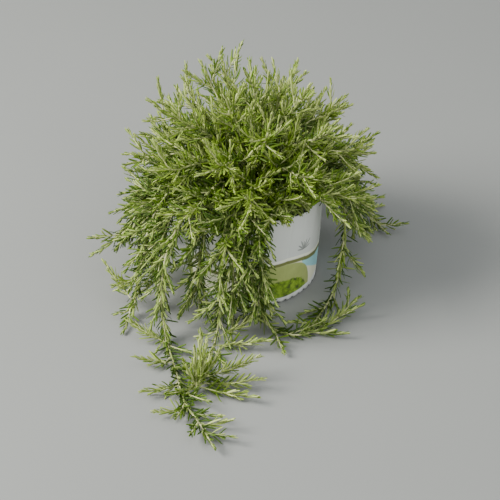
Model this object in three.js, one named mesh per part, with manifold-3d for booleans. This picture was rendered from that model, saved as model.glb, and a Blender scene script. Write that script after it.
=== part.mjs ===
// Trailing rosemary in a round nursery pot, with a printed card sleeve round the pot.
// Millimetres, +Z up. The pot's base lies on z = 0 and its axis is x = y = 0.
// The front of the sleeve faces -Y.
import * as THREE from "three";
import { mergeVertices } from "three/addons/utils/BufferGeometryUtils.js";
import Module from "manifold-3d";

const wasm = await Module();
wasm.setup();

// Gap kept between neighbouring solids.
const GAP = 0.3;

// Pot: a 13 cm nursery pot with a thicker rim and a ring of drainage holes.
const POT_HEIGHT = 100;
const POT_WALL = 1.5;
const POT_FOOT_RADIUS = 56;
const POT_NECK_RADIUS = 62;
const POT_RIM_RADIUS = 64.5;
const POT_RIM_HEIGHT = 12;
const POT_SIDES = 40;
const RIM_CHAMFER = 1;
const DRAIN_HOLES = 8;
const DRAIN_RADIUS = 4;
const DRAIN_RING_RADIUS = 39;
const DRAIN_SIDES = 8;

// Soil: fills the pot to SOIL_TOP at its edge and is a little domed.
const SOIL_TOP = 87;
const SOIL_DOME = 1;
const SOIL_DOME_RADIUS = 35;
const SOIL_SIDES = 36;

// Sleeve: a thin card cone with a toothed bottom edge and a wavy top edge.
const SLEEVE_CARD = 0.8;
const SLEEVE_FOOT_RADIUS = 62;
const SLEEVE_TOP_RADIUS = 67.5;
const SLEEVE_BOTTOM = 0.6;
const SLEEVE_TOP = 101;
const SLEEVE_WAVE = 2;
const SLEEVE_WAVES = 5;
const SLEEVE_TEETH = 48;
const SLEEVE_TOOTH = 2.4;

// Stems: they start just above the soil, spread over a disc like a sunflower's seeds.
const STEM_FOOT_GAP = 1;
const STEM_FOOT_Z = SOIL_TOP + SOIL_DOME + STEM_FOOT_GAP;
const STEM_FOOT_RADIUS = 25;
const STEM_THICK = 1.3;
const STEM_THIN = 0.7;
const STEM_SIDES = 4;
const CROWN_STEPS = 7;
const TRAIL_STEPS = 16;

// Crown: the tips of the shoots lie near an ellipsoid, within CROWN_SPREAD of its top.
const SHOOTS = 35;
const GOLDEN_ANGLE = THREE.MathUtils.degToRad(137.508);
const GOLDEN_SHARE = 0.618034;
const FIRST_TURN = THREE.MathUtils.degToRad(90);
const FORK_RADIUS = 36;
const FORK_TOP = 120;
const FORK_DROP = 16;
const CROWN_CENTRE = new THREE.Vector3(3, 0, 108);
const CROWN_RADII = new THREE.Vector3(122, 117, 114);
const CROWN_SPREAD = THREE.MathUtils.degToRad(110);
const SHORTEST_REACH = 0.9;
const REACH_RANGE = 0.13;
// A shoot leaves its fork at LIFT of its spread and ends at DIP of it, both measured from
// straight up. Past STEEP it ends lower by DROOP for each degree.
const LIFT = 0.36;
const DIP = 0.75;
const STEEP = THREE.MathUtils.degToRad(70);
const STEEP_DIP = THREE.MathUtils.degToRad(52);
const DROOP = 1.7;
const LIFT_HANDLE = 0.6;
const DIP_HANDLE = 0.35;
const ARCH_PARTS = 4;
// The shoots above this part of the sleeve stay up, so that its printed face shows.
const FACE_AZIMUTH = THREE.MathUtils.degToRad(305);
const FACE_SPREAD = THREE.MathUtils.degToRad(72);
const FACE_FADE = THREE.MathUtils.degToRad(42);

// Skirt: shoots that hang over the rim, given by [azimuth in degrees, reach, tip height].
// Each one is turned a little where it would touch another stem.
const SKIRT = [
  [188, 108, 40], [203, 96, 22], [217, 106, 14], [231, 94, 12], [245, 101, 10],
  [258, 89, 26], [270, 97, 16], [8, 98, 30], [62, 92, 22], [92, 96, 28], [118, 100, 34],
  [157, 94, 16],
];
const SKIRT_STEPS = 9;
const SKIRT_FOOT_RADIUS = STEM_FOOT_RADIUS + 4.5;
const SKIRT_KNEE_RADIUS = 40;
const SKIRT_KNEE_Z = 105;
// Over the rim it is this high, plus this share of its reach, and then it drops to hang.
const SKIRT_RISE = SLEEVE_TOP + 4;
const SKIRT_ARCH = 0.12;
const SKIRT_DROP = 17;
const SKIRT_SHOULDER = 0.9;
const SKIRT_FLARE = 2;
const SKIRT_TURN = THREE.MathUtils.degToRad(1.5);
const SKIRT_TRIES = 40;
const SKIRT_CLEARANCE = 0.6;
const BARE_SKIRT = 0.25;

// Leaves: short stiff needles, widest a third of the way along.
const LEAF_LENGTH = 17;
const LEAF_RADIUS = 1.25;
const LEAF_WIDEST = 0.35;
const LEAF_SAMPLES = [0.1, 0.3, 0.5, 0.7, 0.85, 1];
const LAST_LEAF_INSET = 2;
const CROWN_PITCH = 15;
const TRAIL_PITCH = 18;
const LEAF_LEAN = THREE.MathUtils.degToRad(48);
const BARE_CROWN = 0.3;
const BARE_TRAIL = 0.16;
const FLOOR_CLEARANCE = 0.5;
const SLEEVE_CLEARANCE = 1;
const FINEST_DETAIL = 0.05;

// Trailing shoots: the points each one passes through, from the crown to its tip.
const TRAILS = {
  front_left: [[-24, -30, 104], [-52, -62, 120], [-76, -88, 92], [-84, -102, 45],
    [-80, -116, 8], [-70, -160, 4], [-60, -205, 5], [-46, -235, 5], [-34, -266, 8]],
  front: [[-12, -38, 104], [-22, -68, 116], [-28, -98, 82], [-30, -114, 35],
    [-35, -126, 6], [-42, -152, 4], [-50, -192, 6]],
  right: [[40, -8, 104], [66, -16, 118], [86, -26, 92], [86, -38, 40], [78, -50, 8],
    [64, -80, 4], [50, -106, 4]],
  front_right: [[12, -39, 104], [16, -66, 113], [9, -86, 82], [8, -94, 30], [16, -98, 5],
    [42, -110, 4], [72, -96, 6], [100, -68, 14]],
  left: [[-36, -16, 104], [-68, -34, 120], [-94, -50, 92], [-104, -64, 45],
    [-114, -78, 12], [-126, -84, 9]],
  far_left: [[-40, 4, 104], [-72, -2, 120], [-100, -10, 95], [-118, -18, 62],
    [-142, -28, 44]],
  back: [[8, 40, 104], [16, 72, 118], [22, 104, 84], [24, 122, 28], [22, 140, 6],
    [6, 160, 5]],
  back_right: [[34, 24, 104], [66, 46, 118], [94, 66, 80], [106, 76, 25], [122, 72, 6],
    [134, 50, 6]],
  back_left: [[-26, 30, 104], [-52, 60, 118], [-76, 86, 82], [-88, 100, 30],
    [-104, 108, 8]],
};

const plant = new THREE.Group();

const looks = {
  pot: new THREE.MeshStandardMaterial({ color: 0x2b2a27, roughness: 0.55, metalness: 0 }),
  sleeve: new THREE.MeshStandardMaterial({ color: 0xb7bd93, roughness: 0.6, metalness: 0 }),
  soil: new THREE.MeshStandardMaterial({ color: 0x33271b, roughness: 0.95, metalness: 0 }),
  shoot: new THREE.MeshStandardMaterial({ color: 0x64723a, roughness: 0.5, metalness: 0 }),
  trail: new THREE.MeshStandardMaterial({ color: 0x727a56, roughness: 0.5, metalness: 0 }),
};

function addMesh(name, geometry, material) {
  const mesh = new THREE.Mesh(geometry, material);
  mesh.name = name;
  plant.add(mesh);
}

// A closed geometry as a manifold-3d solid.
function solid(geometry) {
  const bare = geometry.clone();
  for (const name of Object.keys(bare.attributes)) {
    if (name !== "position") bare.deleteAttribute(name);
  }
  const merged = mergeVertices(bare, 1e-4);
  return new wasm.Manifold(new wasm.Mesh({
    numProp: 3,
    vertProperties: new Float32Array(merged.attributes.position.array),
    triVerts: new Uint32Array(merged.index.array),
  }));
}

// A manifold-3d solid as a geometry.
function surface(body) {
  const { vertProperties, triVerts } = body.getMesh();
  const geometry = new THREE.BufferGeometry();
  geometry.setAttribute("position", new THREE.BufferAttribute(vertProperties, 3));
  geometry.setIndex(new THREE.BufferAttribute(triVerts, 1));
  geometry.computeVertexNormals();
  return geometry;
}

// A closed profile of [radius, height] corners turned about Z.
function turned(corners, sides) {
  const profile = corners.map(([radius, height]) => new THREE.Vector2(radius, height));
  return new THREE.LatheGeometry(profile, sides).rotateX(Math.PI / 2);
}

function polar(radius, azimuth, z) {
  return new THREE.Vector3(radius * Math.cos(azimuth), radius * Math.sin(azimuth), z);
}

function addPot() {
  const shoulder = POT_HEIGHT - POT_RIM_HEIGHT;
  const shell = solid(turned([
    [0, 0], [POT_FOOT_RADIUS, 0], [POT_NECK_RADIUS, shoulder], [POT_RIM_RADIUS, shoulder],
    [POT_RIM_RADIUS, POT_HEIGHT], [POT_RIM_RADIUS - POT_WALL, POT_HEIGHT],
    [POT_RIM_RADIUS - POT_WALL, shoulder + POT_WALL],
    [POT_NECK_RADIUS - POT_WALL, shoulder + POT_WALL - RIM_CHAMFER],
    [POT_FOOT_RADIUS - POT_WALL, POT_WALL], [0, POT_WALL],
  ], POT_SIDES));
  let pot = shell;
  for (let i = 0; i < DRAIN_HOLES; i += 1) {
    const drill = new THREE.CylinderGeometry(
      DRAIN_RADIUS, DRAIN_RADIUS, 4 * POT_WALL, DRAIN_SIDES,
    );
    drill.rotateX(Math.PI / 2);
    const centre = polar(DRAIN_RING_RADIUS, (i * 2 * Math.PI) / DRAIN_HOLES, 0);
    drill.translate(centre.x, centre.y, centre.z);
    pot = pot.subtract(solid(drill));
  }
  addMesh("pot", surface(pot), looks.pot);
}

function addSoil() {
  const shoulder = POT_HEIGHT - POT_RIM_HEIGHT;
  const side = (z) => POT_FOOT_RADIUS - POT_WALL - 2 * GAP
    + ((POT_NECK_RADIUS - POT_FOOT_RADIUS) * z) / shoulder;
  const bottom = POT_WALL + GAP;
  addMesh("soil", turned([
    [0, bottom], [side(bottom), bottom], [side(SOIL_TOP), SOIL_TOP],
    [SOIL_DOME_RADIUS, SOIL_TOP + SOIL_DOME], [0, SOIL_TOP + SOIL_DOME],
  ], SOIL_SIDES), looks.soil);
}

function addSleeve() {
  const profile = [
    [SLEEVE_FOOT_RADIUS, SLEEVE_BOTTOM],
    [SLEEVE_FOOT_RADIUS + SLEEVE_CARD, SLEEVE_BOTTOM],
    [SLEEVE_TOP_RADIUS + SLEEVE_CARD, SLEEVE_TOP],
    [SLEEVE_TOP_RADIUS, SLEEVE_TOP],
    [SLEEVE_FOOT_RADIUS, SLEEVE_BOTTOM],
  ];
  const geometry = turned(profile, 2 * SLEEVE_TEETH);
  const position = geometry.attributes.position;
  const middle = (SLEEVE_BOTTOM + SLEEVE_TOP) / 2;
  for (let i = 0; i < position.count; i += 1) {
    const azimuth = Math.atan2(position.getY(i), position.getX(i));
    const step = Math.round((azimuth * SLEEVE_TEETH) / Math.PI);
    const lift = position.getZ(i) < middle
      ? (step % 2 === 0 ? 0 : SLEEVE_TOOTH)
      : SLEEVE_WAVE * Math.cos(SLEEVE_WAVES * azimuth);
    position.setZ(i, position.getZ(i) + lift);
  }
  addMesh("sleeve", geometry, looks.sleeve);
}

// The radius of a stem at share t of its length.
function stemRadius(t) {
  return STEM_THICK + (STEM_THIN - STEM_THICK) * t;
}

// A tapered stem along a curve.
function stemSolid(curve, steps) {
  const section = new THREE.Shape();
  for (let i = 0; i < STEM_SIDES; i += 1) {
    const turn = (i * 2 * Math.PI) / STEM_SIDES;
    const corner = [STEM_THICK * Math.cos(turn), STEM_THICK * Math.sin(turn)];
    if (i === 0) section.moveTo(...corner);
    else section.lineTo(...corner);
  }
  const geometry = new THREE.ExtrudeGeometry(section, { steps, extrudePath: curve });
  const position = geometry.attributes.position;
  const vertex = new THREE.Vector3();
  const centres = curve.getSpacedPoints(steps);
  for (let i = 0; i < position.count; i += 1) {
    vertex.fromBufferAttribute(position, i);
    let nearest = 0;
    centres.forEach((centre, k) => {
      if (vertex.distanceTo(centre) < vertex.distanceTo(centres[nearest])) nearest = k;
    });
    const share = stemRadius(nearest / steps) / STEM_THICK;
    vertex.sub(centres[nearest]).multiplyScalar(share).add(centres[nearest]);
    position.setXYZ(i, vertex.x, vertex.y, vertex.z);
  }
  return solid(geometry);
}

// The shortest distance between segments a-b and c-d.
function segmentDistance(a, b, c, d) {
  const u = b.clone().sub(a);
  const v = d.clone().sub(c);
  const w = a.clone().sub(c);
  const uu = u.dot(u);
  const uv = u.dot(v);
  const vv = v.dot(v);
  const uw = u.dot(w);
  const vw = v.dot(w);
  const clamp = (value) => Math.min(1, Math.max(0, value));
  const across = uu * vv - uv * uv;
  let s = across > 1e-9 ? clamp((uv * vw - vv * uw) / across) : 0;
  const t = clamp((uv * s + vw) / vv);
  s = clamp((uv * t - uw) / uu);
  const onFirst = a.clone().addScaledVector(u, s);
  const onSecond = c.clone().addScaledVector(v, t);
  return onFirst.distanceTo(onSecond);
}

// Everything placed so far, as capsules: { owner, from, to, radius }.
const capsules = [];

function isClear(owner, from, to, radius) {
  return capsules.every((other) => {
    if (other.owner === owner) return true;
    const apart = radius + other.radius + GAP;
    return segmentDistance(from, to, other.from, other.to) > apart;
  });
}

function smoothCurve(points) {
  return new THREE.CatmullRomCurve3(points, false, "catmullrom", 0.5);
}

// Where a crown shoot ends, and how far from straight up that is.
function crownTip(share, azimuth, i) {
  const offFace = Math.abs(
    THREE.MathUtils.euclideanModulo(azimuth - FACE_AZIMUTH + Math.PI, 2 * Math.PI) - Math.PI,
  );
  const open = Math.min(1, offFace / FACE_FADE);
  const widest = FACE_SPREAD + (CROWN_SPREAD - FACE_SPREAD) * open;
  const spread = Math.min(Math.acos(1 - share * (1 - Math.cos(CROWN_SPREAD))), widest);
  const reach = SHORTEST_REACH + REACH_RANGE * ((i * GOLDEN_SHARE) % 1);
  const tip = polar(Math.sin(spread), azimuth, Math.cos(spread));
  tip.multiply(CROWN_RADII).multiplyScalar(reach).add(CROWN_CENTRE);
  return { spread, tip };
}

// A shoot of the crown: up from the soil, then out and over to its tip.
function crownCurve(i) {
  const share = (i + 0.5) / SHOOTS;
  const azimuth = FIRST_TURN + i * GOLDEN_ANGLE;
  const { spread, tip } = crownTip(share, azimuth, i);
  const foot = polar(STEM_FOOT_RADIUS * Math.sqrt(share), azimuth, STEM_FOOT_Z);
  const fork = polar(FORK_RADIUS * Math.sqrt(share), azimuth, FORK_TOP - FORK_DROP * share);
  const length = fork.distanceTo(tip);
  const dip = spread < STEEP ? DIP * spread : STEEP_DIP + DROOP * (spread - STEEP);
  const out = polar(Math.sin(LIFT * spread), azimuth, Math.cos(LIFT * spread));
  const end = polar(Math.sin(dip), azimuth, Math.cos(dip));
  const arch = new THREE.CubicBezierCurve3(
    fork,
    fork.clone().addScaledVector(out, LIFT_HANDLE * length),
    tip.clone().addScaledVector(end, -DIP_HANDLE * length),
    tip,
  );
  return smoothCurve([foot, ...arch.getPoints(ARCH_PARTS)]);
}

// A trailing shoot: up from the soil, over the rim and down through its points.
function trailCurve(points) {
  const corners = points.map((point) => new THREE.Vector3(...point));
  const azimuth = Math.atan2(corners[0].y, corners[0].x);
  const foot = polar(SKIRT_FOOT_RADIUS, azimuth, STEM_FOOT_Z);
  return smoothCurve([foot, ...corners]);
}

// A skirt shoot: up and over the rim, then down outside the pot to its tip.
function skirtCurve(azimuth, reach, tipHeight) {
  const top = SKIRT_RISE + SKIRT_ARCH * reach;
  const shoulder = top - SKIRT_DROP;
  return smoothCurve([
    polar(SKIRT_FOOT_RADIUS, azimuth, STEM_FOOT_Z),
    polar(SKIRT_KNEE_RADIUS, azimuth, SKIRT_KNEE_Z),
    polar(POT_RIM_RADIUS, azimuth, top),
    polar(SKIRT_SHOULDER * reach, azimuth, shoulder),
    polar(reach, azimuth, (shoulder + tipHeight) / 2),
    polar(reach + SKIRT_FLARE, azimuth, tipHeight),
  ]);
}

// The segments of a stem as capsules.
function stemCapsules({ name, curve, steps }) {
  const points = curve.getSpacedPoints(steps);
  return points.slice(1).map((to, k) => (
    { owner: name, from: points[k], to, radius: stemRadius(k / steps) }
  ));
}

// A skirt shoot turned by the fewest degrees that keep it clear of the other stems.
function placeSkirt(name, [degrees, reach, tipHeight]) {
  for (let k = 0; k < SKIRT_TRIES; k += 1) {
    const turn = (k % 2 === 0 ? 1 : -1) * Math.ceil(k / 2) * SKIRT_TURN;
    const azimuth = THREE.MathUtils.degToRad(degrees) + turn;
    const shoot = {
      name, curve: skirtCurve(azimuth, reach, tipHeight), steps: SKIRT_STEPS,
      bare: BARE_SKIRT, pitch: CROWN_PITCH, material: looks.trail,
    };
    const free = stemCapsules(shoot).every(({ from, to, radius }) => (
      isClear(name, from, to, radius + SKIRT_CLEARANCE)
    ));
    if (free) return shoot;
  }
  throw new Error(`no room for ${name}`);
}

// Whether a leaf's point keeps off the floor, the rim and the sleeve.
function isOffPot(point) {
  if (point.z < LEAF_RADIUS + FLOOR_CLEARANCE) return false;
  const radius = Math.hypot(point.x, point.y);
  const sleeveReach = SLEEVE_TOP_RADIUS + SLEEVE_CARD + LEAF_RADIUS + SLEEVE_CLEARANCE;
  if (point.z > SLEEVE_TOP + SLEEVE_WAVE + LEAF_RADIUS + SLEEVE_CLEARANCE) return true;
  return radius > sleeveReach;
}

// The point at share t of a stem's straight-sided axis.
function axisPoint(curve, steps, t) {
  const points = curve.getSpacedPoints(steps);
  const k = Math.min(steps - 1, Math.floor(t * steps));
  return points[k].clone().lerp(points[k + 1], t * steps - k);
}

// Opposite pairs of leaves along a stem, each pair a quarter turn from the last.
function leafPairs(shoot) {
  const { name, curve, steps, bare, pitch } = shoot;
  const length = curve.getLength();
  const pairs = Math.floor(((1 - bare) * length) / pitch);
  const leaves = [];
  for (let pair = 0; pair <= pairs; pair += 1) {
    const t = 1 - ((pairs - pair) * pitch + LAST_LEAF_INSET) / length;
    const root = axisPoint(curve, steps, t);
    const along = curve.getTangentAt(t);
    const side = new THREE.Vector3(-along.y, along.x, 0);
    if (side.length() < 0.05) side.set(1, 0, 0);
    side.normalize();
    const turn = (pair % 2) * (Math.PI / 2) + Math.PI / 4;
    for (const half of [0, Math.PI]) {
      const outward = side.clone().applyAxisAngle(along, turn + half);
      const tip = root.clone()
        .addScaledVector(along, LEAF_LENGTH * Math.cos(LEAF_LEAN))
        .addScaledVector(outward, LEAF_LENGTH * Math.sin(LEAF_LEAN));
      const points = LEAF_SAMPLES.map((share) => root.clone().lerp(tip, share));
      if (!points.every(isOffPot)) continue;
      if (!isClear(name, root, tip, LEAF_RADIUS)) continue;
      capsules.push({ owner: name, from: root, to: tip, radius: LEAF_RADIUS });
      leaves.push({ root, tip });
    }
  }
  return leaves;
}

// A leaf is a three-sided spindle whose lower point is inside the stem.
function leafSolid({ root, tip }) {
  const geometry = new THREE.LatheGeometry([
    new THREE.Vector2(0, 0),
    new THREE.Vector2(LEAF_RADIUS, LEAF_WIDEST * LEAF_LENGTH),
    new THREE.Vector2(0, LEAF_LENGTH),
  ], 3);
  const up = new THREE.Vector3(0, 1, 0);
  const direction = tip.clone().sub(root).normalize();
  geometry.applyQuaternion(new THREE.Quaternion().setFromUnitVectors(up, direction));
  geometry.translate(root.x, root.y, root.z);
  return solid(geometry);
}

function addShoots() {
  const shoots = [];
  for (let i = 0; i < SHOOTS; i += 1) {
    shoots.push({
      name: `shoot_${String(i + 1).padStart(2, "0")}`,
      curve: crownCurve(i), steps: CROWN_STEPS, bare: BARE_CROWN, pitch: CROWN_PITCH,
      material: looks.shoot,
    });
  }
  for (const [where, points] of Object.entries(TRAILS)) {
    shoots.push({
      name: `trail_${where}`,
      curve: trailCurve(points), steps: TRAIL_STEPS, bare: BARE_TRAIL, pitch: TRAIL_PITCH,
      material: looks.trail,
    });
  }
  for (const shoot of shoots) capsules.push(...stemCapsules(shoot));
  SKIRT.forEach((shape, i) => {
    const shoot = placeSkirt(`skirt_${String(i + 1).padStart(2, "0")}`, shape);
    capsules.push(...stemCapsules(shoot));
    shoots.push(shoot);
  });
  for (const shoot of shoots) {
    let body = stemSolid(shoot.curve, shoot.steps);
    for (const leaf of leafPairs(shoot)) body = body.add(leafSolid(leaf));
    addMesh(shoot.name, surface(body.simplify(FINEST_DETAIL)), shoot.material);
  }
}

addPot();
addSoil();
addSleeve();
addShoots();

export default plant;
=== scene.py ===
"""Looks of a potted trailing rosemary: leafy shoots, stems, peat, nursery pot, card sleeve.

Lengths are in millimetres, as in the CAD, and become metres where meshes are made.
"""
import math

import bpy
import numpy as np
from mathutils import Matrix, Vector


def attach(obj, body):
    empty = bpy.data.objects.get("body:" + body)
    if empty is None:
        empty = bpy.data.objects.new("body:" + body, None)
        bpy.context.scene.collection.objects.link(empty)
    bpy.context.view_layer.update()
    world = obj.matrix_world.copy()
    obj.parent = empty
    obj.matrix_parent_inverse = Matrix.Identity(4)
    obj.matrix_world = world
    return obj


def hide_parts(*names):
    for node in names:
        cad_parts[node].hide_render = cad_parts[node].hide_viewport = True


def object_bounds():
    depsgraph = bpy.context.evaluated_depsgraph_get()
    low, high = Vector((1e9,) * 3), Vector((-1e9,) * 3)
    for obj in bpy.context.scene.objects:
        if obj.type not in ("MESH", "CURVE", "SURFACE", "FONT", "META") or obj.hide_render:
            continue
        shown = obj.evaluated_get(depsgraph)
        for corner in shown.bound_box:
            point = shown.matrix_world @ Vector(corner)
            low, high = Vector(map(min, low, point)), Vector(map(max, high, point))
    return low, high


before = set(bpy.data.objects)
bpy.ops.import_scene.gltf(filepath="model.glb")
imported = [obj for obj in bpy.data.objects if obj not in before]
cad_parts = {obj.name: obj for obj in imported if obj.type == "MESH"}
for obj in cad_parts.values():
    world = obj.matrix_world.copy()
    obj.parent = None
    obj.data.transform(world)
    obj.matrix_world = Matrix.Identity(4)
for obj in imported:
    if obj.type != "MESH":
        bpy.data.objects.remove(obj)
cad_box = [list(corner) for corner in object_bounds()]
BOX_LOW = np.array(cad_box[0]) * 1000
BOX_HIGH = np.array(cad_box[1]) * 1000
# How far leaves may reach past the CAD box: a little less than the looks are allowed.
BOX_SLACK = 7 + 0.02 * (BOX_HIGH - BOX_LOW)
rng = np.random.default_rng(11)

# -------------------- sizes, as in the CAD
POT_HEIGHT, POT_WALL = 100.0, 1.5
POT_FOOT, POT_NECK, POT_RIM = 56.0, 62.0, 64.5
RIM_HEIGHT = 12.0
DRAIN_HOLES, DRAIN_RADIUS, DRAIN_RING = 8, 4.0, 39.0
SOIL_TOP, SOIL_DOME = 87.0, 1.0
SLEEVE_FOOT, SLEEVE_TOP_RADIUS = 62.0, 67.5
SLEEVE_BOTTOM, SLEEVE_TOP = 0.6, 101.0
SLEEVE_TEETH, SLEEVE_TOOTH = 48, 2.4
SLEEVE_WAVES, SLEEVE_WAVE = 5, 2.0

STEM_FOOT_Z, STEM_FOOT_RADIUS = 89.0, 25.0
SHOOTS = 35
GOLDEN = math.radians(137.508)
FIRST_TURN = math.radians(90)
FORK_RADIUS, FORK_TOP, FORK_DROP = 36.0, 120.0, 16.0
CROWN_CENTRE = np.array([3.0, 0.0, 108.0])
CROWN_RADII = np.array([122.0, 117.0, 114.0])
CROWN_SPREAD = math.radians(110)
GOLDEN_SHARE, SHORTEST_REACH, REACH_RANGE = 0.618034, 0.9, 0.13
LIFT, DIP, DROOP = 0.36, 0.75, 1.7
STEEP, STEEP_DIP = math.radians(70), math.radians(52)
LIFT_HANDLE, DIP_HANDLE, ARCH_PARTS = 0.6, 0.35, 4
FACE_AZIMUTH, FACE_SPREAD, FACE_FADE = math.radians(305), math.radians(72), math.radians(42)

VIEW_ELEVATION = math.radians(37)

TRAILS = {
    "front_left": [(-24, -30, 104), (-52, -62, 120), (-76, -88, 92), (-84, -102, 45),
                   (-80, -116, 8), (-70, -160, 4), (-60, -205, 5), (-46, -235, 5),
                   (-34, -266, 8)],
    "front": [(-12, -38, 104), (-22, -68, 116), (-28, -98, 82), (-30, -114, 35),
              (-35, -126, 6), (-42, -152, 4), (-50, -192, 6)],
    "right": [(40, -8, 104), (66, -16, 118), (86, -26, 92), (86, -38, 40), (78, -50, 8),
              (64, -80, 4), (50, -106, 4)],
    "front_right": [(12, -39, 104), (16, -66, 113), (9, -86, 82), (8, -94, 30),
                    (16, -98, 5), (42, -110, 4), (72, -96, 6), (100, -68, 14)],
    "left": [(-36, -16, 104), (-68, -34, 120), (-94, -50, 92), (-104, -64, 45),
             (-114, -78, 12), (-126, -84, 9)],
    "far_left": [(-40, 4, 104), (-72, -2, 120), (-100, -10, 95), (-118, -18, 62),
                 (-142, -28, 44)],
    "back": [(8, 40, 104), (16, 72, 118), (22, 104, 84), (24, 122, 28), (22, 140, 6),
             (6, 160, 5)],
    "back_right": [(34, 24, 104), (66, 46, 118), (94, 66, 80), (106, 76, 25),
                   (122, 72, 6), (134, 50, 6)],
    "back_left": [(-26, 30, 104), (-52, 60, 118), (-76, 86, 82), (-88, 100, 30),
                  (-104, 108, 8)],
}

# Each skirt shoot's reach and the height of its tip.
SKIRT = [
    (108, 40), (96, 22), (106, 14), (94, 12), (101, 10), (89, 26), (97, 16), (98, 30),
    (92, 22), (96, 28), (100, 34), (94, 16),
]
SKIRT_FOOT_RADIUS = STEM_FOOT_RADIUS + 4.5
SKIRT_KNEE_RADIUS, SKIRT_KNEE_Z = 40.0, 105.0
SKIRT_RISE, SKIRT_ARCH, SKIRT_DROP = SLEEVE_TOP + 4, 0.12, 17.0
SKIRT_SHOULDER, SKIRT_FLARE = 0.9, 2.0

# Side shoots of the trailing ones, from a point near the stem to the side shoot's tip.
SIDE_SHOOTS = {
    "front": [((-47, -190, 7), (-51, -188, 50)), ((-46, -186, 7), (-41, -180, 52)),
              ((-48, -188, 7), (-60, -192, 40)), ((-46, -182, 7), (-46, -172, 54)),
              ((-45, -180, 7), (-30, -174, 38)), ((-44, -172, 6), (4, -166, 24)),
              ((-46, -180, 6), (6, -186, 15)), ((-47, -186, 6), (0, -202, 9)),
              ((-36, -128, 6), (12, -128, 12)), ((-34, -122, 10), (2, -110, 26))],
    "front_left": [((-72, -150, 5), (-104, -152, 12)), ((-66, -182, 5), (-96, -196, 10)),
                   ((-56, -212, 5), (-84, -222, 9)), ((-62, -198, 5), (-40, -168, 20)),
                   ((-78, -124, 6), (-112, -112, 20)), ((-46, -235, 5), (-22, -238, 12))],
    "left": [((-112, -74, 16), (-138, -50, 40)), ((-106, -66, 40), (-128, -84, 42))],
}

# The part of the sleeve that is left open to view: its sides, and its top edge along x.
FACE_LEFT, FACE_RIGHT, FACE_SKIN = 27, 62, 65.0
FACE_TOP_X, FACE_TOP = [22, 30, 50, 60, 68], [76, 83, 88, 92, 96]

# -------------------- leaves and stems
# A full-grown leaf, and the distance between one pair and the next.
LEAF_LENGTH, LEAF_WIDTH = 14.2, 1.95
NODE_PITCH = 3.4
LINE_STEP = 2.5

# How old the leaves at a tip look, from 0, dark, to 1, pale. Skirts, trails and low crown
# shoots are set darker as painted shade, as if from the foliage above them.
SKIRT_AGE_AND_SHADE, TRAIL_AGE_AND_SHADE = 0.28, 0.52
CROWN_AGE, CROWN_AGE_RANGE, LOW_SHOOTS, LOW_PAINTED_SHADE = 0.72, 0.28, (18, 32), 0.3

CROWN_TWIGS, SKIRT_TWIGS, TRAIL_TWIG_GAP = 13, 19, 17
# Short twigs that cover the rim. More of them stand behind the sleeve's open face.
FIRST_LIP_SHOOT = SHOOTS // 4
CROWN_LIP_TWIGS, SKIRT_LIP_TWIGS, TRAIL_LIP_TWIGS, FACE_LIP_TWIGS = 10, 9, 8, 12
LIP_REACH, LIP_HEIGHT = (52, 72), (105, 112)
FACE_LIP_REACH, FACE_LIP_HEIGHT, FACE_LIP_AIM = (50, 65), (101, 106), (-0.78, -0.28)


def unit(v):
    return v / np.maximum(np.linalg.norm(v, axis=-1, keepdims=True), 1e-9)


def smooth(low, high, x):
    t = np.clip((x - low) / (high - low), 0, 1)
    return t * t * (3 - 2 * t)


def polar(radius, azimuth, z):
    return np.array([radius * math.cos(azimuth), radius * math.sin(azimuth), z])


def between(a, b, angle):
    """The directions that lie at an angle from a, towards b."""
    return a * np.cos(angle)[:, None] + b * np.sin(angle)[:, None]


def catmull(points, steps=14):
    """A smooth line through the points, uniform Catmull-Rom."""
    p = [np.array(q, float) for q in points]
    p = [2 * p[0] - p[1]] + p + [2 * p[-1] - p[-2]]
    t = np.linspace(0, 1, steps, endpoint=False)[:, None]
    parts = []
    for a, b, c, d in zip(p, p[1:], p[2:], p[3:]):
        parts.append(0.5 * (2 * b + (c - a) * t + (2 * a - 5 * b + 4 * c - d) * t ** 2
                            + (3 * b - a - 3 * c + d) * t ** 3))
    return np.concatenate(parts + [p[-2][None]])


def bezier(points, t):
    n = len(points) - 1
    t = np.asarray(t, float)[:, None]
    return sum(math.comb(n, k) * (1 - t) ** (n - k) * t ** k * np.asarray(q)
               for k, q in enumerate(points))


def from_face(azimuth):
    """The angle between an azimuth and the middle of the sleeve's open face."""
    return abs((azimuth - FACE_AZIMUTH + math.pi) % (2 * math.pi) - math.pi)


def crown_line(i):
    """A shoot of the crown, as the CAD has it: up from the soil, then out to its tip."""
    share = (i + 0.5) / SHOOTS
    azimuth = FIRST_TURN + i * GOLDEN
    open_share = min(1, from_face(azimuth) / FACE_FADE)
    widest = FACE_SPREAD + (CROWN_SPREAD - FACE_SPREAD) * open_share
    spread = min(math.acos(1 - share * (1 - math.cos(CROWN_SPREAD))), widest)
    reach = SHORTEST_REACH + REACH_RANGE * ((i * GOLDEN_SHARE) % 1)
    tip = CROWN_CENTRE + CROWN_RADII * reach * polar(math.sin(spread), azimuth,
                                                     math.cos(spread))
    foot = polar(STEM_FOOT_RADIUS * math.sqrt(share), azimuth, STEM_FOOT_Z)
    fork = polar(FORK_RADIUS * math.sqrt(share), azimuth, FORK_TOP - FORK_DROP * share)
    length = np.linalg.norm(tip - fork)
    dip = DIP * spread if spread < STEEP else STEEP_DIP + DROOP * (spread - STEEP)
    lift = LIFT * spread
    out = polar(math.sin(lift), azimuth, math.cos(lift))
    end = polar(math.sin(dip), azimuth, math.cos(dip))
    arch = bezier([fork, fork + LIFT_HANDLE * length * out, tip - DIP_HANDLE * length * end,
                   tip], np.linspace(0, 1, ARCH_PARTS + 1))
    return catmull([foot, *arch])


def trail_line(points):
    azimuth = math.atan2(points[0][1], points[0][0])
    return catmull([polar(SKIRT_FOOT_RADIUS, azimuth, STEM_FOOT_Z), *points])


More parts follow.
